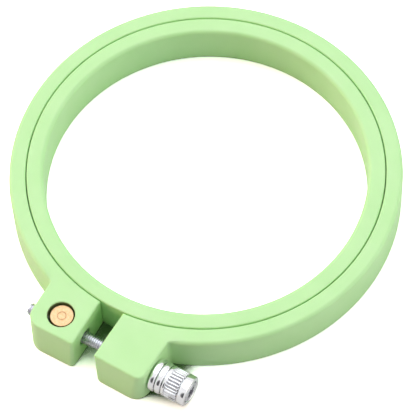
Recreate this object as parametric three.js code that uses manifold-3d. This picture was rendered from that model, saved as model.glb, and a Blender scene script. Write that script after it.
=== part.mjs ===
// A plastic embroidery hoop: a closed inner hoop lies flush inside a split outer hoop, whose two lugs
// are drawn together by a thumb screw that runs in a brass barrel nut. Millimetres, +Z up, screw along X.
import * as THREE from "three";
import { mergeVertices } from "three/addons/utils/BufferGeometryUtils.js";
import Module from "manifold-3d";

// Hoops
const hoopOpening = 86.6; // diameter that is left free for the stitching
const innerWall = 4.5;
const outerWall = 4.4;
const hoopHeight = 12.4;
const edgeRound = 1.15; // top edges along the opening and round the outside
const seamRound = 0.35; // top edges on both sides of the seam
const footRound = 0.4;
const touchGap = 0.3; // between pieces that touch or slide on each other

// Lugs
const lugGap = 6.7; // between the lugs' faces, on the screw's line
const lugToeIn = 0.8; // degrees that each lug leans towards the other, pulled by the screw
const lugWidth = 14.4;
const lugReach = 9.8; // from the outer wall to the top edge of the lug's front
const lugFlare = 0.85; // the front's foot stands this much further out than its top edge
const lugRound = 0.6; // top edges of the lug
const gapCornerRound = 1.1; // upright corner beside the gap
const farCornerRound = 3.6; // upright corner away from the gap

// Clamp
const screwReach = 3.8; // from the outer wall to the screw's line
const screwDiameter = 3.5;
const screwHole = 4.8; // clearance hole through each lug
const tipReach = 2.7; // the screw's tip stands this far out of the nut's lug
const tipChamfer = 0.4;
const headDiameter = 5.4;
const headHeight = 1.5;
const recessSpan = 3.9; // cross recess in the screw's head
const recessWidth = 1.2;
const recessDepth = 1.0;
const nutInset = 6.9; // from the lug's face to the middle of the nut's hole
const nutHole = 7.3;
const nutDiameter = 6.3;
const nutSink = 0.5; // top and bottom of the nut below the lug's faces
const nutChamfer = 0.3;

// Knob, from the lug outwards
const washerDiameter = 9.0;
const washerThickness = 1.65;
const flangeDiameter = 8.8;
const flangeLength = 1.55;
const grooveDiameter = 7.7;
const grooveLength = 0.25;
const collarDiameter = 8.5;
const collarLength = 0.85;
const knurlDiameter = 8.6;
const knurlDepth = 0.3;
const knurlLength = 3.65;
const knurlRibs = 28;
const bandDiameter = 8.5;
const bandLength = 2.1;
const endRound = 0.5;

// Smoothness
const hoopSteps = 96;
const pinSteps = 32;
const cornerSteps = 3;
const smallRound = 0.5; // a round below this is a single chamfer

// Places that follow from the sizes
const hoopRadius = hoopOpening / 2;
const seamRadius = hoopRadius + innerWall;
const splitRadius = seamRadius + touchGap;
const outerRadius = splitRadius + outerWall;
const screwY = -(outerRadius + screwReach);
const screwZ = hoopHeight / 2;
const lugFace = lugGap / 2;
const lugMiddle = lugFace + lugWidth / 2;
const lugBack = lugFace + lugWidth;
const nutMiddle = lugFace + nutInset;
const nutShift = (nutHole - nutDiameter) / 2 - touchGap; // the pull seats the nut on the gap's side
const tipX = -(lugBack + tipReach);
const washerX = lugBack + touchGap;
const knobX = washerX + washerThickness + touchGap;
const knobLength = flangeLength + 2 * grooveLength + collarLength + knurlLength + bandLength;
const headRoom = headHeight + touchGap;

const hoopPlastic = new THREE.MeshStandardMaterial({ color: 0xb4ee98, roughness: 0.45, metalness: 0 });
const nutBrass = new THREE.MeshStandardMaterial({ color: 0xe8c07a, roughness: 0.35, metalness: 1 });
const screwSteel = new THREE.MeshStandardMaterial({ color: 0xb9bac2, roughness: 0.3, metalness: 1 });
const brightPlate = new THREE.MeshStandardMaterial({ color: 0xe4e4ea, roughness: 0.15, metalness: 1 });

const wasm = await Module();
wasm.setup();

// A closed geometry as a solid that can be joined and cut.
function solidOf(geometry) {
  const bare = geometry.index ? geometry.toNonIndexed() : geometry.clone();
  bare.deleteAttribute("normal");
  bare.deleteAttribute("uv");
  const merged = mergeVertices(bare, 1e-4);
  return new wasm.Manifold(
    new wasm.Mesh({
      numProp: 3,
      vertProperties: merged.attributes.position.array,
      triVerts: new Uint32Array(merged.index.array),
    }),
  );
}

function meshOf(name, solid, material) {
  const made = solid.getMesh();
  const geometry = new THREE.BufferGeometry();
  geometry.setAttribute("position", new THREE.BufferAttribute(made.vertProperties, made.numProp));
  geometry.setIndex(new THREE.BufferAttribute(made.triVerts, 1));
  geometry.computeVertexNormals();
  const mesh = new THREE.Mesh(geometry, material);
  mesh.name = name;
  return mesh;
}

// Points of an outline whose corners are [x, y, round].
function roundedOutline(corners) {
  const points = [];
  corners.forEach(([x, y, round], i) => {
    const corner = new THREE.Vector2(x, y);
    if (!round) {
      points.push(corner);
      return;
    }
    const before = corners[(i + corners.length - 1) % corners.length];
    const after = corners[(i + 1) % corners.length];
    const inward = new THREE.Vector2(before[0] - x, before[1] - y).normalize();
    const onward = new THREE.Vector2(after[0] - x, after[1] - y).normalize();
    const half = Math.acos(inward.dot(onward)) / 2;
    const middle = inward.clone().add(onward).normalize();
    const centre = corner.clone().addScaledVector(middle, round / Math.sin(half));
    const start = corner.clone().addScaledVector(inward, round / Math.tan(half)).sub(centre);
    const turn = Math.sign(inward.cross(onward)) * -(Math.PI - 2 * half);
    const steps = round < smallRound ? 1 : cornerSteps;
    for (let k = 0; k <= steps; k++) {
      points.push(start.clone().rotateAround(new THREE.Vector2(), (turn * k) / steps).add(centre));
    }
  });
  return points;
}

// A solid turned about Z from an outline of [radius, height, round] corners that run anticlockwise.
function turned(corners, steps) {
  const points = roundedOutline(corners);
  const closed = corners.every(([radius]) => radius > 0);
  if (closed) points.push(points[0].clone());
  return solidOf(new THREE.LatheGeometry(points, steps).rotateX(Math.PI / 2));
}

function ring(insideRadius, outsideRadius, insideRound, outsideRound) {
  return turned(
    [
      [insideRadius, 0, footRound],
      [outsideRadius, 0, footRound],
      [outsideRadius, hoopHeight, outsideRound],
      [insideRadius, hoopHeight, insideRound],
    ],
    hoopSteps,
  );
}

// An upright pin, centred on the point.
function pin(diameter, length, x, y, z) {
  const geometry = new THREE.CylinderGeometry(diameter / 2, diameter / 2, length, pinSteps);
  return solidOf(geometry.rotateX(Math.PI / 2).translate(x, y, z));
}

// A pin along X, centred on the point.
function crossPin(diameter, length, x, y, z) {
  const geometry = new THREE.CylinderGeometry(diameter / 2, diameter / 2, length, pinSteps);
  return solidOf(geometry.rotateZ(Math.PI / 2).translate(x, y, z));
}

function block(width, depth, height, x, y, z) {
  return solidOf(new THREE.BoxGeometry(width, depth, height).translate(x, y, z));
}

// Leans a geometry over with the lug on that side, about the lug's face on the screw's line.
function toedIn(geometry, side) {
  geometry.translate(-side * lugFace, -screwY, 0);
  geometry.rotateZ(-side * THREE.MathUtils.degToRad(lugToeIn));
  return geometry.translate(side * lugFace, screwY, 0);
}

// The lug's block, side -1 for the nut's and 1 for the knob's. Its root is buried in the ring's wall.
function lug(side) {
  const front = -(outerRadius + lugReach);
  const root = -splitRadius + outerWall;
  const outline = roundedOutline([
    [side * lugFace, root, 0],
    [side * lugFace, front, gapCornerRound],
    [side * lugBack, front, farCornerRound],
    [side * lugBack, root, 0],
  ]);
  const geometry = new THREE.ExtrudeGeometry(new THREE.Shape(outline), {
    depth: hoopHeight,
    bevelThickness: lugRound,
    bevelSize: lugRound,
    bevelOffset: -lugRound,
    bevelSegments: cornerSteps,
  });
  geometry.translate(0, 0, -lugRound);
  const places = geometry.attributes.position;
  for (let i = 0; i < places.count; i++) {
    const drop = 1 - places.getZ(i) / hoopHeight;
    places.setY(i, places.getY(i) - drop * lugFlare);
  }
  return solidOf(toedIn(geometry, side));
}

// One half of the outer hoop with its lug, cut at the gap, at the back, under the foot and by its holes.
function outerHalf(side) {
  const far = 4 * outerRadius; // longer than the whole part
  const gapCut = new THREE.BoxGeometry(far, far, far);
  gapCut.translate(side * (lugFace - far / 2), -(far / 2), 0);
  const backCut = block(far, far, far, (-side * (far - touchGap)) / 2, 0, 0);
  return ring(splitRadius, outerRadius, seamRound, edgeRound)
    .add(lug(side).subtract(pin(2 * splitRadius, far, 0, 0, 0)))
    .subtract(solidOf(toedIn(gapCut, side)))
    .subtract(backCut)
    .subtract(block(far, far, far, 0, 0, -far / 2))
    .subtract(crossPin(screwHole, lugWidth + lugGap, side * lugMiddle, screwY, screwZ));
}

// The nut stands upright; the screw's line crosses it at mid height.
function barrelNut() {
  const length = hoopHeight - 2 * nutSink;
  const radius = nutDiameter / 2;
  const body = turned(
    [
      [0, 0, 0],
      [radius, 0, nutChamfer],
      [radius, length, nutChamfer],
      [0, length, 0],
    ],
    pinSteps,
  );
  return body.subtract(crossPin(screwDiameter + 2 * touchGap, nutHole, 0, 0, length / 2));
}

// The screw from its tip at zero to its head at the given length.
function clampScrew(length) {
  const radius = screwDiameter / 2;
  const body = turned(
    [
      [0, 0, 0],
      [radius, 0, tipChamfer],
      [radius, length - headHeight, 0],
      [headDiameter / 2, length - headHeight, 0],
      [headDiameter / 2, length, nutChamfer],
      [0, length, 0],
    ],
    pinSteps,
  );
  const armZ = length - recessDepth / 2 + touchGap / 2;
  return body
    .subtract(block(recessSpan, recessWidth, recessDepth + touchGap, 0, 0, armZ))
    .subtract(block(recessWidth, recessSpan, recessDepth + touchGap, 0, 0, armZ));
}

// The knurl's ribs, a toothed outline drawn out along the axis.
function knurl(fromZ) {
  const crest = knurlDiameter / 2;
  const outline = [];
  for (let i = 0; i < 2 * knurlRibs; i++) {
    const radius = i % 2 ? crest - knurlDepth : crest;
    outline.push(new THREE.Vector2(radius, 0).rotateAround(new THREE.Vector2(), (Math.PI * i) / knurlRibs));
  }
  const geometry = new THREE.ExtrudeGeometry(new THREE.Shape(outline), {
    depth: knurlLength,
    bevelEnabled: false,
  });
  return solidOf(geometry.translate(0, 0, fromZ));
}

// The knob from its flange at zero outwards, with a bore for the screw and a seat for its head.
function thumbKnob() {
  const groove = grooveDiameter / 2;
  const collarZ = flangeLength + grooveLength;
  const knurlZ = collarZ + collarLength;
  const bandZ = knurlZ + knurlLength + grooveLength;
  const body = turned(
    [
      [0, 0, 0],
      [flangeDiameter / 2, 0, footRound],
      [flangeDiameter / 2, flangeLength, footRound],
      [groove, flangeLength, 0],
      [groove, collarZ, 0],
      [collarDiameter / 2, collarZ, 0],
      [collarDiameter / 2, knurlZ, 0],
      [groove, knurlZ, 0],
      [groove, bandZ, 0],
      [bandDiameter / 2, bandZ, 0],
      [bandDiameter / 2, knobLength, endRound],
      [0, knobLength, 0],
    ],
    pinSteps,
  );
  return body
    .add(knurl(knurlZ))
    .subtract(pin(screwDiameter + 2 * touchGap, 2 * knobLength + 2 * touchGap, 0, 0, 0))
    .subtract(pin(headDiameter + 2 * touchGap, 2 * headRoom, 0, 0, knobLength));
}

function knobWasher() {
  const bore = screwDiameter / 2 + touchGap;
  return turned(
    [
      [bore, 0, 0],
      [washerDiameter / 2, 0, footRound],
      [washerDiameter / 2, washerThickness, footRound],
      [bore, washerThickness, 0],
    ],
    pinSteps,
  );
}

const hoop = new THREE.Group();
hoop.add(meshOf("inner_hoop", ring(hoopRadius, seamRadius, edgeRound, seamRound), hoopPlastic));

const nutHalf = outerHalf(-1).subtract(pin(nutHole, 4 * screwZ, -nutMiddle, screwY, screwZ));
hoop.add(meshOf("outer_hoop_nut_half", nutHalf, hoopPlastic));
hoop.add(meshOf("outer_hoop_knob_half", outerHalf(1), hoopPlastic));

const nut = meshOf("barrel_nut", barrelNut(), nutBrass);
nut.position.set(nutShift - nutMiddle, screwY, nutSink);
hoop.add(nut);

// On the screw's line local Z runs from the nut towards the knob.
const screwLine = new THREE.Group();
screwLine.position.set(0, screwY, screwZ);
screwLine.rotation.y = Math.PI / 2;
hoop.add(screwLine);

const washer = meshOf("knob_washer", knobWasher(), brightPlate);
washer.position.z = washerX;
screwLine.add(washer);

const knob = meshOf("thumb_knob", thumbKnob(), brightPlate);
knob.position.z = knobX;
screwLine.add(knob);

const screw = meshOf("clamp_screw", clampScrew(knobX + knobLength - tipX), screwSteel);
screw.position.z = tipX;
screwLine.add(screw);

// The origin is the middle of the foot of the whole part's box.
const box = new THREE.Box3().setFromObject(hoop);
hoop.position.set(0, -(box.min.y + box.max.y) / 2, 0);

export default hoop;
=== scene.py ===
import math

import bmesh
import bpy
from mathutils import Matrix, Vector


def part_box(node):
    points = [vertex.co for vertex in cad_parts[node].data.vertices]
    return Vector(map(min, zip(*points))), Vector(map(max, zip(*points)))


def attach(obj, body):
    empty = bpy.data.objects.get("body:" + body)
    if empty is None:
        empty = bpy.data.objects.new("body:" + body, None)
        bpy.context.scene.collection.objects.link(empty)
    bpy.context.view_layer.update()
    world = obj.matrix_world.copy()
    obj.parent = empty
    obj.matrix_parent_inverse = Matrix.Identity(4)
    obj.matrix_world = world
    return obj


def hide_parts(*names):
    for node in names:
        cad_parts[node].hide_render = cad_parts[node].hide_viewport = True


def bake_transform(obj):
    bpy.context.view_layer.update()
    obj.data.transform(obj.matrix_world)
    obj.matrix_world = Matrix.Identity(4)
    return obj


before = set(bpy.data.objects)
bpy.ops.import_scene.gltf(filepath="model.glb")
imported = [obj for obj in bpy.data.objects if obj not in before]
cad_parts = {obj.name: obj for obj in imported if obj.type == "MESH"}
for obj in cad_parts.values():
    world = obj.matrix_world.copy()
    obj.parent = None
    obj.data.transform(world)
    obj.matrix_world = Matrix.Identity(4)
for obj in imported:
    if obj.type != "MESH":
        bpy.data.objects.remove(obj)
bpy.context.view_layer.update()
scene = bpy.context.scene
mm = 0.001  # the scene is in metres
tiny = 0.001 * mm  # points this near each other are one

# places that every piece shares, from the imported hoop
innerLow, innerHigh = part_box("inner_hoop")
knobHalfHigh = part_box("outer_hoop_knob_half")[1]
screwLow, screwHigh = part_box("clamp_screw")
nutLow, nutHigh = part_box("barrel_nut")
washerLow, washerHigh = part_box("knob_washer")
knobLow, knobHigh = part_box("thumb_knob")
hoopCentre = Vector(((innerLow.x + innerHigh.x) / 2, (innerLow.y + innerHigh.y) / 2, 0))
hoopHeight = innerHigh.z
seamRadius = (innerHigh.x - innerLow.x) / 2
outerRadius = knobHalfHigh.x - hoopCentre.x
screwLine = Vector((0, (screwLow.y + screwHigh.y) / 2, (screwLow.z + screwHigh.z) / 2))
nutPlace = Vector(((nutLow.x + nutHigh.x) / 2, (nutLow.y + nutHigh.y) / 2, 0))

print("frame loaded:", len(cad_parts), "nodes")


# camera, at the photograph's viewing angle
cameraSettings = {
    "target": (4.767, -2.048, 6.253),  # mm, where the view's middle meets the screw's height
    "azimuth": 33.2,  # degrees, 0 looks along +Y
    "elevation": 60.23,
    "roll": 3.1,
    "distance": 719.1,  # mm
    "lens": 233.96,
    "sensorWidth": 36,
    "clip": (10 * mm, 20),
}


def makeCamera(settings):
    azimuth = math.radians(settings["azimuth"])
    elevation = math.radians(settings["elevation"])
    target = Vector(settings["target"]) * mm
    flat = math.cos(elevation)
    away = Vector((flat * math.sin(azimuth), -flat * math.cos(azimuth), math.sin(elevation)))
    data = bpy.data.cameras.new("photoCamera")
    data.sensor_fit = "HORIZONTAL"
    data.sensor_width = settings["sensorWidth"]
    data.lens = settings["lens"]
    data.clip_start, data.clip_end = settings["clip"]
    camera = bpy.data.objects.new("photoCamera", data)
    scene.collection.objects.link(camera)
    level = away.to_track_quat("Z", "Y").to_matrix().to_4x4()
    turn = Matrix.Rotation(-math.radians(settings["roll"]), 4, "Z")
    place = Matrix.Translation(target + away * settings["distance"] * mm)
    camera.matrix_world = place @ level @ turn
    scene.camera = camera


makeCamera(cameraSettings)
print("camera set")


# small tools that the pieces share
def smoothMesh(mesh, sharpAngle):
    mesh.shade_smooth()
    mesh.set_sharp_from_angle(angle=math.radians(sharpAngle))


def newPiece(name, bm, material, sharpAngle=40):
    mesh = bpy.data.meshes.new(name)
    bm.to_mesh(mesh)
    bm.free()
    mesh.materials.append(material)
    smoothMesh(mesh, sharpAngle)
    piece = bpy.data.objects.new(name, mesh)
    scene.collection.objects.link(piece)
    return piece


def keepFacesFlat(piece):
    modifier = piece.modifiers.new("flatFaces", "WEIGHTED_NORMAL")
    modifier.keep_sharp = True
    modifier.weight = 100  # large faces decide over small ones


def vertsOf(geometry):
    return [g for g in geometry if isinstance(g, bmesh.types.BMVert)]


def roundVert(bm, vert, radius, segments):
    bmesh.ops.bevel(
        bm, geom=[vert], offset=radius, offset_type="OFFSET", affect="VERTICES",
        segments=segments, profile=0.5, material=-1, clamp_overlap=False,
    )


# corners are (radius, height, round, segments) in mm, in the XZ plane
def sectionLoop(bm, corners):
    verts = [bm.verts.new((radius * mm, 0, height * mm)) for radius, height, _, _ in corners]
    bm.faces.new(verts)
    for vert, (_, _, rounding, segments) in zip(verts, corners):
        if rounding:
            roundVert(bm, vert, rounding * mm, segments)
    bmesh.ops.delete(bm, geom=bm.faces[:], context="FACES_ONLY")
    onAxis = [e for e in bm.edges if all(v.co.x < tiny for v in e.verts)]
    bmesh.ops.delete(bm, geom=onAxis, context="EDGES")


def spinRound(bm, steps):
    bmesh.ops.spin(
        bm, geom=bm.verts[:] + bm.edges[:], cent=(0, 0, 0), axis=(0, 0, 1), dvec=(0, 0, 0),
        angle=math.tau, steps=steps, use_merge=True,
    )
    bmesh.ops.remove_doubles(bm, verts=bm.verts[:], dist=tiny)
    bmesh.ops.recalc_face_normals(bm, faces=bm.faces[:])


# a piece that was made along Z now points along the screw, from startX towards the knob
def ontoScrewLine(bm, startX):
    turn = Matrix.Rotation(math.pi / 2, 3, "Y")
    bmesh.ops.rotate(bm, verts=bm.verts[:], cent=(0, 0, 0), matrix=turn)
    bmesh.ops.translate(bm, verts=bm.verts[:], vec=(startX, screwLine.y, screwLine.z))


# takes a closed shape out of a piece
def cutShape(piece, name, bm):
    mesh = bpy.data.meshes.new(name)
    bm.to_mesh(mesh)
    bm.free()
    cutter = bpy.data.objects.new(name, mesh)
    scene.collection.objects.link(cutter)
    modifier = piece.modifiers.new(name, "BOOLEAN")
    modifier.operation = "DIFFERENCE"
    modifier.solver = "EXACT"
    modifier.object = cutter
    return cutter


# corners are (radius, height) in mm, and startX is given for a hole along the screw
def cutHole(piece, name, corners, steps, centre=None, startX=0):
    bm = bmesh.new()
    sectionLoop(bm, [(radius, height, 0, 0) for radius, height in corners])
    spinRound(bm, steps)
    if centre is None:
        ontoScrewLine(bm, startX)
    else:
        bmesh.ops.translate(bm, verts=bm.verts[:], vec=centre)
    return cutShape(piece, name, bm)


def applyModifiers(piece, cutters):
    ready = piece.evaluated_get(bpy.context.evaluated_depsgraph_get())
    mesh = bpy.data.meshes.new_from_object(ready)
    old = piece.data
    piece.modifiers.clear()
    piece.data = mesh
    bpy.data.meshes.remove(old)
    for cutter in cutters:
        mesh = cutter.data
        bpy.data.objects.remove(cutter)
        bpy.data.meshes.remove(mesh)


# materials
def newMaterial(name):
    material = bpy.data.materials.new(name)
    material.use_nodes = True
    nodes = material.node_tree.nodes
    return material, nodes, material.node_tree.links, nodes["Principled BSDF"]


def objectPlace(nodes, links, centre=(0, 0, 0)):
    coordinates = nodes.new("ShaderNodeTexCoord")
    mapping = nodes.new("ShaderNodeMapping")
    mapping.vector_type = "TEXTURE"
    mapping.inputs["Location"].default_value = centre
    links.new(coordinates.outputs["Object"], mapping.inputs["Vector"])
    return mapping.outputs["Vector"]


def noiseNode(nodes, links, place, scale, detail):
    noise = nodes.new("ShaderNodeTexNoise")
    noise.inputs["Scale"].default_value = scale
    noise.inputs["Detail"].default_value = detail
    links.new(place, noise.inputs["Vector"])
    return noise.outputs["Fac"]


def toneNode(nodes, links, value, look, stops):
    ramp = nodes.new("ShaderNodeValToRGB")
    colors = (look["deepest"], look["palest"])
    for element, position, color in zip(ramp.color_ramp.elements, stops, colors):
        element.position = position
        element.color = (*color, 1)
    links.new(value, ramp.inputs["Fac"])
    return ramp.outputs["Color"]


def rangeNode(nodes, links, value, toRange, fromRange=(0, 1), eased=False):
    node = nodes.new("ShaderNodeMapRange")
    if eased:
        node.interpolation_type = "SMOOTHSTEP"
    node.inputs["From Min"].default_value, node.inputs["From Max"].default_value = fromRange
    node.inputs["To Min"].default_value, node.inputs["To Max"].default_value = toRange
    links.new(value, node.inputs["Value"])
    return node.outputs["Result"]


def setOrLink(links, value, socket):
    if isinstance(value, bpy.types.NodeSocket):
        links.new(value, socket)
    else:
        socket.default_value = value


def mixNode(nodes, links, factor, first, second):
    mix = nodes.new("ShaderNodeMix")
    mix.data_type = "RGBA"
    for value, name in ((factor, "Factor"), (first, "A"), (second, "B")):
        setOrLink(links, value, mix.inputs[name])
    return mix.outputs["Result"]


def mathNode(nodes, links, operation, first, second):
    node = nodes.new("ShaderNodeMath")
    node.operation = operation
    for value, socket in zip((first, second), node.inputs):
        setOrLink(links, value, socket)
    return node.outputs[0]


def bumpNode(nodes, links, height, distance, strength, before=None):
    bump = nodes.new("ShaderNodeBump")
    bump.inputs["Distance"].default_value = distance
    bump.inputs["Strength"].default_value = strength
    links.new(height, bump.inputs["Height"])
    if before:
        links.new(before, bump.inputs["Normal"])
    return bump.outputs["Normal"]


# a piece's hollow attribute is 1 where the colour gives way to the painted shade
def paintedShadeMix(nodes, links, color, shade):
    hollow = nodes.new("ShaderNodeAttribute")
    hollow.attribute_name = "hollow"
    return mixNode(nodes, links, hollow.outputs["Fac"], color, (*shade, 1))


plasticLook = {
    "palest": (0.60, 0.945, 0.47),
    "deepest": (0.55, 0.91, 0.42),
    "toneStops": (0.3, 0.7),
    "flow": (90, 4),  # scale and detail of the slow changes from moulding
    "flowBump": (0.05 * mm, 0.25),  # depth and strength
    "grain": (2600, 3),
    "grainBump": (0.02 * mm, 0.35),
    "roughness": (0.33, 0.44),
    "subsurface": 0.12,
    "subsurfaceRadius": (0.6, 1.0, 0.4),
    "subsurfaceScale": 1.2 * mm,
    "holePaintedShade": (0.12, 0.11, 0.03),  # painted shade in the nut's hole, with an olive tint as a painted reflection of the brass nut
}


def makePlastic(look):
    material, nodes, links, shader = newMaterial("hoopPlastic")
    place = objectPlace(nodes, links)
    flow = noiseNode(nodes, links, place, *look["flow"])
    grain = noiseNode(nodes, links, place, *look["grain"])
    tone = toneNode(nodes, links, flow, look, look["toneStops"])
    links.new(paintedShadeMix(nodes, links, tone, look["holePaintedShade"]), shader.inputs["Base Color"])
    links.new(rangeNode(nodes, links, grain, look["roughness"]), shader.inputs["Roughness"])
    fine = bumpNode(nodes, links, grain, *look["grainBump"])
    links.new(bumpNode(nodes, links, flow, *look["flowBump"], fine), shader.inputs["Normal"])
    shader.inputs["Subsurface Weight"].default_value = look["subsurface"]
    shader.inputs["Subsurface Radius"].default_value = look["subsurfaceRadius"]
    shader.inputs["Subsurface Scale"].default_value = look["subsurfaceScale"]
    return material


sharedMetalLook = {
    "toneStops": (0.35, 0.65),
    "grainDetail": 4,
    "grainBump": (0.01 * mm, 0.15),
    "ringDetail": 2,
    "ringDepth": 0.02 * mm,
    "paintedHollowShade": (0.06, 0.055, 0.075),  # painted shade in grooves and recesses
}
metalLooks = {
    "nutBrass": {
        "palest": (0.69, 0.46, 0.27),
        "deepest": (0.57, 0.35, 0.18),
        "roughness": (0.32, 0.46),
        "grainScale": 1500,
        "centre": nutPlace,
        "rings": {"scale": 1800, "waver": 1.5, "strength": 0.35},  # that turning left
    },
    "screwSteel": {
        "palest": (0.74, 0.73, 0.78),
        "deepest": (0.54, 0.53, 0.60),
        "roughness": (0.22, 0.34),
        "grainScale": 1200,
        "centre": (0, 0, 0),
        "rings": None,
    },
    "knobPlate": {
        "palest": (0.90, 0.90, 0.92),
        "deepest": (0.84, 0.84, 0.87),
        "roughness": (0.07, 0.14),
        "grainScale": 900,
        "centre": (0, 0, 0),
        "rings": None,
    },
}


def makeMetal(name, look, shared):
    material, nodes, links, shader = newMaterial(name)
    place = objectPlace(nodes, links, look["centre"])
    grain = noiseNode(nodes, links, place, look["grainScale"], shared["grainDetail"])
    tone = toneNode(nodes, links, grain, look, shared["toneStops"])
    links.new(paintedShadeMix(nodes, links, tone, shared["paintedHollowShade"]), shader.inputs["Base Color"])
    links.new(rangeNode(nodes, links, grain, look["roughness"]), shader.inputs["Roughness"])
    normal = bumpNode(nodes, links, grain, *shared["grainBump"])
    turning = look["rings"]
    if turning:
        rings = nodes.new("ShaderNodeTexWave")
        rings.wave_type = "RINGS"
        rings.rings_direction = "Z"
        rings.inputs["Scale"].default_value = turning["scale"]
        rings.inputs["Distortion"].default_value = turning["waver"]
        rings.inputs["Detail"].default_value = shared["ringDetail"]
        links.new(place, rings.inputs["Vector"])
        height = rings.outputs["Fac"]
        normal = bumpNode(nodes, links, height, shared["ringDepth"], turning["strength"], normal)
    links.new(normal, shader.inputs["Normal"])
    shader.inputs["Metallic"].default_value = 1
    return material


hoopPlastic = makePlastic(plasticLook)
nutBrass, screwSteel, knobPlate = (
    makeMetal(name, look, sharedMetalLook) for name, look in metalLooks.items()
)
print("materials made")


# inner hoop
innerHoopSizes = {
    "opening": 86.6,
    "edgeRound": 1.15,
    "edgeSegments": 7,
    "seamSwell": 0.04,  # the moulding stands this much nearer to its neighbour than the plain solid
    "seamRound": 0.42,
    "footRound": 0.4,
    "smallSegments": 3,
    "steps": 288,
}


def makeInnerHoop(sizes):
    bm = bmesh.new()
    opening = sizes["opening"] / 2
    outside = seamRadius / mm + sizes["seamSwell"]
    height = hoopHeight / mm
    foot = (0, sizes["footRound"], sizes["smallSegments"])
    sectionLoop(bm, [
        (opening, *foot),
        (outside, *foot),
        (outside, height, sizes["seamRound"], sizes["smallSegments"]),
        (opening, height, sizes["edgeRound"], sizes["edgeSegments"]),
    ])
    spinRound(bm, sizes["steps"])
    bmesh.ops.translate(bm, verts=bm.verts[:], vec=hoopCentre)
    piece = newPiece("innerHoop", bm, hoopPlastic)
    keepFacesFlat(piece)
    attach(piece, "inner_hoop")
    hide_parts("inner_hoop")


makeInnerHoop(innerHoopSizes)
print("inner hoop made")


# outer hoop, one moulding with both lugs
outerHoopSizes = {
    "seamGap": 0.28,
    "lugGap": 6.7,
    "lugToeIn": 0.8,  # degrees
    "lugWidth": 14.4,
    "lugReach": 9.8,
    "lugFlare": 0.85,  # of the fronts, at the foot
    "uprightRounds": {  # (at the top, at the foot) of each lug's upright corners, nut's side first
        "gap": ((0.8, 1.3), (0.6, 1.9)),
        "far": ((4.0, 4.4), (2.2, 4.0)),
    },
    "planRound": 1.0,  # of those corners, before each is drawn out to its own round
    "planCatch": 1.1,  # how near a point is to its corner, in plan rounds
    "planSteps": 9,
    "rootRound": 0.8,  # hollow between the lug's side and the ring's wall
    "rootSteps": 4,
    "ringRound": 1.1,
    "lugRound": 0.5,
    "seamRound": 0.42,
    "footRound": 0.35,
    "lugFootRound": 0.55,
    "roundSegments": 6,
    "nutHole": 7.3,
    "nutInset": 6.9,  # from the lug's face to the middle of the nut's hole
    "screwHole": 4.8,
    "holeChamfer": 0.2,
    "holeSteps": 72,
    "holePaintedShade": 0.75,  # how far the nut's hole gives way to its painted shade
    "holeMargin": 0.02,
    "cutterPast": 1,  # beyond the face that a cutter goes through
    "rimMargins": (0.2, 0.05),  # beyond the seam and the ring, where their rims still count
    "steps": 150,  # round half of the ring
    "sharpAngle": 40,
    "bendLength": 5.0,  # of the back wall, over which the real hoop springs open
}


# half of the hoop's plan, at the knob's side: the ring's two arcs and the lug's straight sides
def lugPlan(bm, sizes):
    inside = seamRadius + sizes["seamGap"] * mm
    face = sizes["lugGap"] / 2 * mm
    back = face + sizes["lugWidth"] * mm
    front = -(outerRadius + sizes["lugReach"] * mm)
    lean = Matrix.Rotation(-math.radians(sizes["lugToeIn"]), 3, "Z")
    hingePoint = Vector((face, screwLine.y - hoopCentre.y, 0))

    def leaned(x, y):
        return lean @ (Vector((x, y, 0)) - hingePoint) + hingePoint

    def meetCircle(start, along, radius):
        middle = -start.dot(along)
        half = math.sqrt(middle ** 2 - start.length_squared + radius ** 2)
        return start + along * (middle - half)

    upward = lean @ Vector((0, 1, 0))
    faceFront = leaned(face, front)
    backFront = leaned(back, front)
    faceTop = meetCircle(faceFront, upward, inside)
    backTop = meetCircle(backFront, upward, outerRadius)
    outerStart = bm.verts.new((0, outerRadius, 0))
    sweep = math.pi / 2 - math.atan2(backTop.y, backTop.x)
    result = bmesh.ops.spin(
        bm, geom=[outerStart], cent=(0, 0, 0), axis=(0, 0, -1), dvec=(0, 0, 0),
        angle=sweep, steps=sizes["steps"],
    )
    rootVert = vertsOf(result["geom_last"])[0]
    backVert = bm.verts.new(backFront)
    gapVert = bm.verts.new(faceFront)
    faceVert = bm.verts.new(faceTop)
    for pair in ((rootVert, backVert), (backVert, gapVert), (gapVert, faceVert)):
        bm.edges.new(pair)
    sweepBack = math.pi / 2 - math.atan2(faceTop.y, faceTop.x)
    result = bmesh.ops.spin(
        bm, geom=[faceVert], cent=(0, 0, 0), axis=(0, 0, 1), dvec=(0, 0, 0),
        angle=sweepBack, steps=sizes["steps"],
    )
    innerEnd = vertsOf(result["geom_last"])[0]
    bm.edges.new((innerEnd, outerStart))
    bmesh.ops.contextual_create(bm, geom=bm.edges[:])
    return rootVert, {"far": backVert, "gap": gapVert}


# how much of the largest round each rim of the moulding gets
def weightRims(bm, sizes):
    weight = bm.edges.layers.float.new("bevel_weight_edge")
    seamMargin, ringMargin = sizes["rimMargins"]
    seamLimit = seamRadius + (sizes["seamGap"] + seamMargin) * mm
    ringLimit = outerRadius + ringMargin * mm
    for edge in bm.edges:
        a, b = (v.co for v in edge.verts)
        besideWall = any(abs(f.normal.z) < 0.5 for f in edge.link_faces)
        if abs(a.z - b.z) > tiny or not besideWall:
            continue
        reach = max(a.xy.length, b.xy.length)
        if a.z < hoopHeight / 2:
            rounding = sizes["footRound"] if reach < ringLimit else sizes["lugFootRound"]
        elif reach < seamLimit:
            rounding = sizes["seamRound"]
        elif reach < ringLimit:
            rounding = sizes["ringRound"]
        else:
            rounding = sizes["lugRound"]
        edge[weight] = rounding / sizes["ringRound"]


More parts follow.
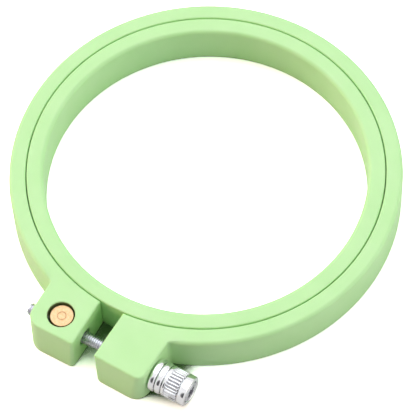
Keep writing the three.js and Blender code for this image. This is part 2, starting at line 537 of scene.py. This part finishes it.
# gives the upright corners their own rounds and lets the fronts flare towards the foot
def shapeLugs(bm, sizes, places):
    lugReach = sizes["lugReach"] * mm
    for vert in bm.verts:
        atFoot = vert.co.z < hoopHeight / 2
        for name, place in places.items():
            corner = Vector((math.copysign(place.x, vert.co.x), place.y, vert.co.z))
            offset = vert.co - corner
            if offset.length < sizes["planCatch"] * sizes["planRound"] * mm:
                rounding = sizes["uprightRounds"][name][vert.co.x > 0][atFoot]
                vert.co = corner + offset * rounding / sizes["planRound"]
                break
        if atFoot and vert.co.y < -outerRadius:
            share = min(1, (-vert.co.y - outerRadius) / lugReach)
            vert.co.y -= sizes["lugFlare"] * mm * share


def nutHolePlace(sizes):
    return Vector((-(sizes["lugGap"] / 2 + sizes["nutInset"]) * mm, screwLine.y, 0))


def cutNutHole(piece, sizes):
    edge, past, height = sizes["holeChamfer"], sizes["cutterPast"], hoopHeight / mm
    bore = sizes["nutHole"] / 2
    wide = bore + edge + past
    corners = [
        (0, -past), (wide, -past), (bore, edge),
        (bore, height - edge), (wide, height + past), (0, height + past),
    ]
    return cutHole(piece, "nutHole", corners, sizes["holeSteps"], centre=nutHolePlace(sizes))


def cutScrewHoles(piece, sizes):
    edge, past = sizes["holeChamfer"], sizes["cutterPast"]
    bore, face = sizes["screwHole"] / 2, sizes["lugGap"] / 2
    wide, back = bore + edge + past, face + sizes["lugWidth"]
    corners = [
        (0, -back - past), (wide, -back - past), (bore, edge - back), (bore, -face - edge),
        (wide, past - face), (wide, face - past),
        (bore, face + edge), (bore, back - edge), (wide, back + past), (0, back + past),
    ]
    return cutHole(piece, "screwHole", corners, sizes["holeSteps"])


# paints shade onto the walls of the nut's hole, through the hollow attribute
def paintShadeInNutHole(piece, sizes):
    middle = nutHolePlace(sizes).xy
    limit = (sizes["nutHole"] / 2 + sizes["holeMargin"]) * mm
    hollow = piece.data.attributes.new("hollow", "FLOAT", "FACE")
    for face in piece.data.polygons:
        inHole = (face.center.xy - middle).length < limit
        hollow.data[face.index].value = sizes["holePaintedShade"] if inHole else 0


def outerHoopBody(sizes):
    bm = bmesh.new()
    rootVert, corners = lugPlan(bm, sizes)
    places = {name: vert.co.copy() for name, vert in corners.items()}
    roundVert(bm, rootVert, sizes["rootRound"] * mm, sizes["rootSteps"])
    for vert in corners.values():
        roundVert(bm, vert, sizes["planRound"] * mm, sizes["planSteps"])
    raised = bmesh.ops.extrude_face_region(bm, geom=bm.faces[:])["geom"]
    bmesh.ops.translate(bm, verts=vertsOf(raised), vec=(0, 0, hoopHeight))
    bmesh.ops.recalc_face_normals(bm, faces=bm.faces[:])
    atBack = [f for f in bm.faces if all(abs(v.co.x) < tiny for v in f.verts)]
    bmesh.ops.delete(bm, geom=atBack, context="FACES_ONLY")
    geometry = bm.verts[:] + bm.edges[:] + bm.faces[:]
    bmesh.ops.mirror(bm, geom=geometry, axis="X", merge_dist=tiny)
    bmesh.ops.recalc_face_normals(bm, faces=bm.faces[:])
    shapeLugs(bm, sizes, places)
    weightRims(bm, sizes)
    bmesh.ops.translate(bm, verts=bm.verts[:], vec=hoopCentre)
    return bm


def makeOuterHoop(sizes):
    piece = newPiece("outerHoop", outerHoopBody(sizes), hoopPlastic)
    rounding = piece.modifiers.new("rims", "BEVEL")
    rounding.limit_method = "WEIGHT"
    rounding.width = sizes["ringRound"] * mm
    rounding.segments = sizes["roundSegments"]
    rounding.use_clamp_overlap = False
    applyModifiers(piece, (cutNutHole(piece, sizes), cutScrewHoles(piece, sizes)))
    smoothMesh(piece.data, sizes["sharpAngle"])
    paintShadeInNutHole(piece, sizes)
    keepFacesFlat(piece)
    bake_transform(piece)
    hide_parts("outer_hoop_nut_half", "outer_hoop_knob_half")


makeOuterHoop(outerHoopSizes)
print("outer hoop made")


# barrel nut
nutSizes = {
    "edgeRound": 0.3,
    "edgeSegments": 3,
    "markRadius": 0.95,  # ring that the turning tool left on the top
    "markWidth": 0.3,
    "markDepth": 0.12,
    "markRound": 0.05,
    "markSegments": 2,
    "screwBore": 3.6,
    "boreSteps": 48,
    "steps": 96,
    "sharpAngle": 30,
}


def makeNut(sizes):
    bm = bmesh.new()
    radius = (nutHigh.x - nutLow.x) / 2 / mm
    low, high = nutLow.z / mm, nutHigh.z / mm
    mark, width, depth = sizes["markRadius"], sizes["markWidth"], sizes["markDepth"]
    edge = (sizes["edgeRound"], sizes["edgeSegments"])
    fine = (sizes["markRound"], sizes["markSegments"])
    sectionLoop(bm, [
        (0, low, 0, 0),
        (radius, low, *edge),
        (radius, high, *edge),
        (mark + width, high, *fine),
        (mark + width / 2, high - depth, *fine),
        (mark, high, *fine),
        (0, high, 0, 0),
    ])
    spinRound(bm, sizes["steps"])
    bmesh.ops.translate(bm, verts=bm.verts[:], vec=nutPlace)
    piece = newPiece("barrelNut", bm, nutBrass)
    bore, reach = sizes["screwBore"] / 2, 2 * radius
    corners = [(0, -reach), (bore, -reach), (bore, reach), (0, reach)]
    cutter = cutHole(piece, "nutBore", corners, sizes["boreSteps"], startX=nutPlace.x)
    applyModifiers(piece, (cutter,))
    smoothMesh(piece.data, sizes["sharpAngle"])
    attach(piece, "nut")
    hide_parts("barrel_nut")


makeNut(nutSizes)
print("barrel nut made")


# clamp screw
screwSizes = {
    "diameter": 3.5,
    "rootDiameter": 2.85,
    "pitch": 0.6,
    "flanks": (1 / 8, 7 / 16, 9 / 16, 7 / 8),  # shares of the pitch, up to the crest and down
    "turnSteps": 24,
    "tipChamfer": 0.45,
    "threadSharpAngle": 50,
    "threadIntoHead": 0.2,
    "headDiameter": 5.4,
    "headHeight": 1.5,
    "headRound": 0.35,
    "headSegments": 4,
    "headSteps": 64,
    "headSharpAngle": 30,
    "recessSpan": 3.9,
    "recessWidth": 1.5,
    "recessTurn": 25.6,  # degrees
    "recessDepth": 1.1,
    "recessTaper": 0.55,
    # the share of painted shade that the cross recess gets
    "recessPaintedShade": 0.9,
    "recessMargin": 0.1,  # under the head's face and over its foot, where the painted shade stops
}


def makeThread(bm, sizes, length):
    pitch, root, crest = sizes["pitch"] * mm, sizes["rootDiameter"] / 2, sizes["diameter"] / 2
    radii = (root, root, crest, crest, root, root)
    shares = (0, *sizes["flanks"], 1)
    verts = [bm.verts.new((radius * mm, 0, share * pitch)) for radius, share in zip(radii, shares)]
    for pair in zip(verts, verts[1:]):
        bm.edges.new(pair)
    steps = sizes["turnSteps"]
    bmesh.ops.spin(
        bm, geom=bm.verts[:] + bm.edges[:], cent=(0, 0, 0), axis=(0, 0, 1),
        dvec=(0, 0, pitch / steps), angle=math.tau, steps=steps,
    )
    oneTurn = bm.verts[:] + bm.edges[:] + bm.faces[:]
    for turn in range(1, math.ceil(length / pitch) + 2):
        copied = bmesh.ops.duplicate(bm, geom=oneTurn)["geom"]
        bmesh.ops.translate(bm, verts=vertsOf(copied), vec=(0, 0, turn * pitch))
    bmesh.ops.remove_doubles(bm, verts=bm.verts[:], dist=2 * tiny)
    bmesh.ops.translate(bm, verts=bm.verts[:], vec=(0, 0, -pitch))
    for height, side in ((0, -1), (length, 1)):
        bmesh.ops.bisect_plane(
            bm, geom=bm.verts[:] + bm.edges[:] + bm.faces[:], dist=0.1 * tiny,
            plane_co=(0, 0, height), plane_no=(0, 0, side), clear_outer=True,
        )
        loose = [e for e in bm.edges if e.is_boundary]
        rim = [e for e in loose if all(abs(v.co.z - height) < tiny for v in e.verts)]
        bmesh.ops.contextual_create(bm, geom=rim)
    for vert in bm.verts:
        limit = (crest - sizes["tipChamfer"]) * mm + vert.co.z
        if vert.co.xy.length > limit:
            vert.co.xy *= limit / vert.co.xy.length
    bmesh.ops.recalc_face_normals(bm, faces=bm.faces[:])


# a cross recess of two tapered arms
def cutRecess(head, sizes):
    cutters = []
    for arm in range(2):
        bm = bmesh.new()
        bmesh.ops.create_cube(bm, size=1)
        for vert in bm.verts:
            narrow = 1 if vert.co.z > 0 else sizes["recessTaper"]
            vert.co.x *= sizes["recessSpan"] * narrow * mm
            vert.co.y *= sizes["recessWidth"] * narrow * mm
            vert.co.z *= 2 * sizes["recessDepth"] * mm
        turn = Matrix.Rotation(math.radians(sizes["recessTurn"] + 90 * arm), 3, "Z")
        bmesh.ops.rotate(bm, verts=bm.verts[:], cent=(0, 0, 0), matrix=turn)
        ontoScrewLine(bm, screwHigh.x)
        cutters.append(cutShape(head, "recessArm%d" % arm, bm))
    return cutters


# paints shade into the head's cross recess, through the hollow attribute
def paintShadeInRecess(head, sizes):
    margin = sizes["recessMargin"] * mm
    low, high = screwHigh.x - sizes["headHeight"] * mm + margin, screwHigh.x - margin
    hollow = head.data.attributes.new("hollow", "FLOAT", "FACE")
    for face in head.data.polygons:
        inRecess = (face.center.yz - screwLine.yz).length < sizes["recessSpan"] / 2 * mm
        shaded = inRecess and low < face.center.x < high
        hollow.data[face.index].value = sizes["recessPaintedShade"] if shaded else 0


def makeScrew(sizes):
    length = (screwHigh.x - screwLow.x) / mm
    headStart, radius = length - sizes["headHeight"], sizes["headDiameter"] / 2
    bm = bmesh.new()
    makeThread(bm, sizes, (headStart + sizes["threadIntoHead"]) * mm)
    ontoScrewLine(bm, screwLow.x)
    piece = newPiece("clampScrew", bm, screwSteel, sizes["threadSharpAngle"])
    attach(piece, "screw")
    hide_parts("clamp_screw")

    bm = bmesh.new()
    sectionLoop(bm, [
        (0, headStart, 0, 0),
        (radius, headStart, 0, 0),
        (radius, length, sizes["headRound"], sizes["headSegments"]),
        (0, length, 0, 0),
    ])
    spinRound(bm, sizes["headSteps"])
    ontoScrewLine(bm, screwLow.x)
    head = newPiece("screwHead", bm, screwSteel)
    applyModifiers(head, cutRecess(head, sizes))
    smoothMesh(head.data, sizes["headSharpAngle"])
    paintShadeInRecess(head, sizes)
    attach(head, "screw")


makeScrew(screwSizes)
print("clamp screw made")


# thumb knob and its washer
knobSizes = {
    "bore": 4.1,
    "seatDiameter": 6.0,
    "seatDepth": 1.8,
    "flangeDiameter": 8.8,
    "flangeLength": 1.55,
    "flangeRounds": (0.45, 0.85),  # at the washer, at the collar
    "flangeSegments": (4, 7),
    "flangeSwell": 0.15,  # towards the washer
    "grooveDiameter": 7.7,
    "grooveLength": 0.25,
    "collarDiameter": 8.5,
    "collarLength": 0.85,
    "knurlDiameter": 8.6,
    "knurlDepth": 0.42,
    "knurlLength": 3.65,
    "knurlRibs": 28,
    "ribSteps": 12,
    "ribBreadth": 2.2,  # above one, the ribs are broad and their grooves narrow
    # painted shade in the knurl's valleys and in the knob's grooves
    "ribPaintedShade": 0.7,
    "groovePaintedShade": 0.55,
    "ribEnd": 0.3,
    "bandDiameter": 8.5,
    "edge": (0.2, 2),  # round and segments
    "end": (0.5, 6),
    "sharpAngle": 50,
}


def makeKnob(sizes):
    bm = bmesh.new()
    foot = -sizes["flangeSwell"]
    length = (knobHigh.x - knobLow.x) / mm
    bore, seat = sizes["bore"] / 2, sizes["seatDiameter"] / 2
    groove, flange = sizes["grooveDiameter"] / 2, sizes["flangeDiameter"] / 2
    collar, band = sizes["collarDiameter"] / 2, sizes["bandDiameter"] / 2
    knurl, ribEnd, edge = sizes["knurlDiameter"] / 2, sizes["ribEnd"], sizes["edge"]
    flangeEnd = sizes["flangeLength"]
    collarStart = flangeEnd + sizes["grooveLength"]
    knurlStart = collarStart + sizes["collarLength"]
    knurlEnd = knurlStart + sizes["knurlLength"]
    bandStart = knurlEnd + sizes["grooveLength"]
    valley, seatFloor = knurl - sizes["knurlDepth"], length - sizes["seatDepth"]
    atWasher, atCollar = zip(sizes["flangeRounds"], sizes["flangeSegments"])
    sectionLoop(bm, [
        (bore, foot, 0, 0),
        (flange, foot, *atWasher),
        (flange, flangeEnd, *atCollar),
        (groove, flangeEnd, 0, 0),
        (groove, collarStart, 0, 0),
        (collar, collarStart, *edge),
        (collar, knurlStart, *edge),
        (valley, knurlStart, 0, 0),
        (knurl, knurlStart + ribEnd, 0, 0),
        (knurl, knurlEnd - ribEnd, 0, 0),
        (valley, knurlEnd, 0, 0),
        (groove, knurlEnd, 0, 0),
        (groove, bandStart, 0, 0),
        (band, bandStart, *edge),
        (band, length, *sizes["end"]),
        (seat, length, *edge),
        (seat, seatFloor, 0, 0),
        (bore, seatFloor, 0, 0),
    ])
    spinRound(bm, sizes["knurlRibs"] * sizes["ribSteps"])
    # the knurl's valleys and the grooves get painted shade
    hollow = bm.verts.layers.float.new("hollow")
    for vert in bm.verts:
        across = vert.co.xy.length
        if abs(across - knurl * mm) < tiny:
            phase = math.atan2(vert.co.y, vert.co.x) * sizes["knurlRibs"]
            depth = (0.5 - 0.5 * math.cos(phase)) ** sizes["ribBreadth"]
            vert[hollow] = depth * sizes["ribPaintedShade"]
            vert.co.xy *= 1 - sizes["knurlDepth"] * mm * depth / across
        elif abs(across - groove * mm) < tiny:
            vert[hollow] = sizes["groovePaintedShade"]
    ontoScrewLine(bm, knobLow.x)
    piece = newPiece("thumbKnob", bm, knobPlate, sizes["sharpAngle"])
    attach(piece, "screw")
    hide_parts("thumb_knob")


washerSizes = {
    "bore": 4.1,
    "edges": ((0.42, 4), (0.65, 6)),  # round and segments, at the lug and at the knob
    "swell": 0.06,  # at each side, so that only a hairline shows between it and the knob
    "steps": 96,
    "sharpAngle": 50,
}


def makeWasher(sizes):
    bm = bmesh.new()
    bore, radius = sizes["bore"] / 2, (washerHigh.y - washerLow.y) / 2 / mm
    thickness = (washerHigh.x - washerLow.x) / mm + 2 * sizes["swell"]
    atLug, atKnob = sizes["edges"]
    sectionLoop(bm, [
        (bore, 0, 0, 0),
        (radius, 0, *atLug),
        (radius, thickness, *atKnob),
        (bore, thickness, 0, 0),
    ])
    spinRound(bm, sizes["steps"])
    ontoScrewLine(bm, washerLow.x - sizes["swell"] * mm)
    piece = newPiece("knobWasher", bm, knobPlate, sizes["sharpAngle"])
    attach(piece, "washer")
    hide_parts("knob_washer")


makeKnob(knobSizes)
makeWasher(washerSizes)
print("thumb knob and washer made")


# floor, backdrop and light
floorSettings = {
    "size": 3,  # m
    "drop": 0.02,  # under the hoop's foot
    "color": (0.84, 0.84, 0.84),
    "seenColor": (2.3, 2.3, 2.3),  # to the camera alone, so that the lit floor shows as white
    "creviceReach": 9,  # how near the walls stand round a crevice that gets painted shade
    "creviceRange": (0.31, 0.43),  # open sky over the floor, from dark to pale
    "crevicePaintedShade": (0.09, 0.17, 0.06),
    "creviceSamples": 32,
    "farWhite": (0.15, 0.35),  # m from the middle, where the floor turns plain white
}


def makeFloor(settings):
    bm = bmesh.new()
    bmesh.ops.create_grid(bm, x_segments=1, y_segments=1, size=settings["size"])
    bmesh.ops.translate(bm, verts=bm.verts[:], vec=(0, 0, -settings["drop"] * mm))
    material, nodes, links, shader = newMaterial("paleFloor")
    nodes.remove(shader)
    seen = nodes.new("ShaderNodeLightPath").outputs["Is Camera Ray"]
    # painted shade in the floor's crevices, from the open sky that an ambient occlusion node finds
    openSky = nodes.new("ShaderNodeAmbientOcclusion")
    openSky.samples = settings["creviceSamples"]
    openSky.inputs["Distance"].default_value = settings["creviceReach"] * mm
    openPart = rangeNode(
        nodes, links, openSky.outputs["AO"], (0, 1), settings["creviceRange"], eased=True,
    )
    tone = mixNode(nodes, links, seen, (*settings["color"], 1), (*settings["seenColor"], 1))
    shaded = mixNode(nodes, links, openPart, (*settings["crevicePaintedShade"], 1), tone)
    diffuse = nodes.new("ShaderNodeBsdfDiffuse")
    links.new(shaded, diffuse.inputs["Color"])
    distance = nodes.new("ShaderNodeVectorMath")
    distance.operation = "LENGTH"
    links.new(objectPlace(nodes, links), distance.inputs[0])
    far = rangeNode(
        nodes, links, distance.outputs["Value"], (0, 1), settings["farWhite"], eased=True,
    )
    plain = nodes.new("ShaderNodeEmission")
    mix = nodes.new("ShaderNodeMixShader")
    links.new(mathNode(nodes, links, "MULTIPLY", far, seen), mix.inputs["Fac"])
    links.new(diffuse.outputs["BSDF"], mix.inputs[1])
    links.new(plain.outputs["Emission"], mix.inputs[2])
    links.new(mix.outputs["Shader"], nodes["Material Output"].inputs["Surface"])
    floor = newPiece("floor", bm, material)


worldSettings = {
    "strength": 0.86,
    # each side of the room that is dimmer: its middle, how far round it reaches, its level
    "front": ((0.35, -0.90, 0.25), (0.15, 0.65), 0.1),
    "back": ((0, 0.98, 0.2), (0.2, 0.9), 0.5),
    "frontInMetal": ((0.06, -0.95, 0.29), (0.86, 0.955), 0.1),  # all that the bright metal shows
}


def makeWorld(settings):
    world = bpy.data.worlds.new("studio")
    scene.world = world
    world.use_nodes = True
    nodes, links = world.node_tree.nodes, world.node_tree.links
    background = nodes["Background"]
    background.inputs["Color"].default_value = (1, 1, 1, 1)
    ray = nodes.new("ShaderNodeLightPath").outputs
    direction = nodes.new("ShaderNodeTexCoord").outputs["Generated"]

    def combine(operation, first, second):
        return mathNode(nodes, links, operation, first, second)

    def dimmed(side):
        middle, facing, level = settings[side]
        towards = nodes.new("ShaderNodeVectorMath")
        towards.operation = "DOT_PRODUCT"
        towards.inputs[1].default_value = Vector(middle).normalized()
        links.new(direction, towards.inputs[0])
        return rangeNode(nodes, links, towards.outputs["Value"], (1, level), facing, eased=True)

    plain = combine("MULTIPLY", dimmed("front"), settings["strength"])
    plain = combine("MULTIPLY", plain, dimmed("back"))
    inMetal = combine("MAXIMUM", ray["Is Glossy Ray"], ray["Is Transmission Ray"])
    plainPart = combine("MULTIPLY", plain, combine("SUBTRACT", 1, inMetal))
    metalPart = combine("MULTIPLY", dimmed("frontInMetal"), inMetal)
    lit = combine("ADD", plainPart, metalPart)
    links.new(combine("MAXIMUM", lit, ray["Is Camera Ray"]), background.inputs["Strength"])


lamps = {
    "warmLamp": {
        "size": 1.0,  # m
        "power": 5.6,  # W
        "place": (-0.92, -0.64, 0.32),  # m
        "color": (1.0, 0.50, 0.18),
        "inMetal": False,  # its tint stays out of the metal
    },
    "leftLamp": {
        "size": 0.8,
        "power": 1.6,
        "place": (-1.10, -0.20, 0.35),
        "color": (0.85, 0.95, 1.0),
        "inMetal": True,
    },
    "rightLamp": {
        "size": 1.2,
        "power": 5.4,
        "place": (1.10, 0.24, 0.20),
        "color": (1.0, 0.94, 0.86),
        "inMetal": True,
    },
    "topLamp": {
        "size": 1.5,
        "power": 7.1,
        "place": (-0.25, 0.22, 1.1),
        "color": (0.88, 0.97, 1.0),
        "inMetal": True,
    },
}


def makeLamp(name, settings):
    data = bpy.data.lights.new(name, "AREA")
    data.shape = "DISK"
    data.size = settings["size"]
    data.energy = settings["power"]
    data.color = settings["color"]
    lamp = bpy.data.objects.new(name, data)
    scene.collection.objects.link(lamp)
    place = Vector(settings["place"])
    awayFromHoop = place.to_track_quat("Z", "Y").to_matrix().to_4x4()  # it shines down its own -Z
    lamp.matrix_world = Matrix.Translation(place) @ awayFromHoop
    lamp.visible_glossy = settings["inMetal"]


makeFloor(floorSettings)
makeWorld(worldSettings)
for name, settings in lamps.items():
    makeLamp(name, settings)
scene.view_settings.view_transform = "Standard"
print("studio made")
